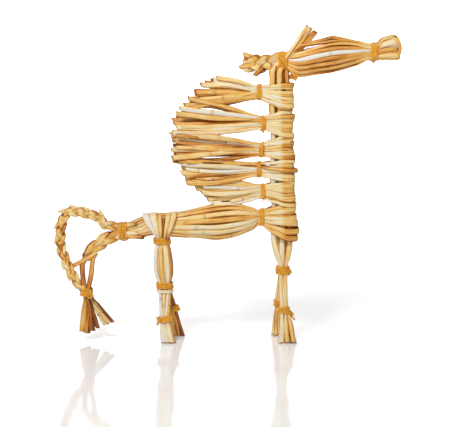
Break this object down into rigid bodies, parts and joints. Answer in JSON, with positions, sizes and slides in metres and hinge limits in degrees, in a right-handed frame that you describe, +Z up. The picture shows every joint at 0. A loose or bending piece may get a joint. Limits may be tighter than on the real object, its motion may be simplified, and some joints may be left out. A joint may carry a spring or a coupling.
{
  "type": "straw horse figure",
  "caption": "Standing horse figure of folded straws bound with thread, with a fanned straw mane, tied legs and a looped plaited tail.",
  "frame": {"origin": "middle of the figure's overall box, at the height of the soles", "axes": "+X from the tail towards the muzzle, +Z up, +Y towards the far side"},
  "size_m": [0.277, 0.0318, 0.2526],
  "materials": {
    "straw_pale": "pale rye straw, waxy, fine lengthways fibre",
    "straw_gold": "golden rye straw, waxy, fine lengthways fibre",
    "straw_amber": "darker amber straw, fine lengthways fibre",
    "thread": "twisted orange-yellow cotton thread, matt"
  },
  "bodies": {
    "root": {"body_straw_1": "straw_gold", "body_straw_2": "straw_pale", "body_straw_3": "straw_gold", "body_straw_4": "straw_pale", "chest_tie": "thread", "ear_straw_far": "straw_gold", "ear_straw_near": "straw_gold", "fore_ankle_tie_far": "thread", "fore_ankle_tie_near": "thread", "fore_knee_tie": "thread", "fore_straw_far_1": "straw_amber", "fore_straw_far_2": "straw_pale", "fore_straw_near_1": "straw_amber", "fore_straw_near_2": "straw_pale", "head_straw_1": "straw_amber", "head_straw_2": "straw_gold", "head_straw_3": "straw_pale", "head_straw_4": "straw_gold", "hind_ankle_tie_far": "thread", "hind_ankle_tie_near": "thread", "hind_knee_tie": "thread", "hind_straw_1": "straw_pale", "hind_straw_2": "straw_gold", "hind_straw_3": "straw_gold", "hind_straw_4": "straw_amber", "hip_tie": "thread", "mane_1_straw_1": "straw_gold", "mane_1_straw_2": "straw_pale", "mane_1_straw_3": "straw_amber", "mane_2_straw_1": "straw_gold", "mane_2_straw_2": "straw_gold", "mane_2_straw_3": "straw_pale", "mane_3_straw_1": "straw_pale", "mane_3_straw_2": "straw_amber", "mane_3_straw_3": "straw_gold", "mane_4_straw_1": "straw_gold", "mane_4_straw_2": "straw_pale", "mane_4_straw_3": "straw_amber", "mane_5_straw_1": "straw_amber", "mane_5_straw_2": "straw_gold", "mane_5_straw_3": "straw_pale", "mane_tie_1": "thread", "mane_tie_2": "thread", "mane_tie_3": "thread", "mane_tie_4": "thread", "mane_tie_5": "thread", "muzzle_tie": "thread", "nape_strand_1": "straw_gold", "nape_strand_2": "straw_gold", "nape_strand_3": "straw_gold", "poll_tie": "thread", "rump_tie": "thread", "tail_lower_strand_1": "straw_gold", "tail_lower_strand_2": "straw_gold", "tail_lower_strand_3": "straw_gold", "tail_tie": "thread", "tail_upper_strand_1": "straw_gold", "tail_upper_strand_2": "straw_gold", "tail_upper_strand_3": "straw_gold", "throat_tie": "thread"}
  },
  "joints": []
}
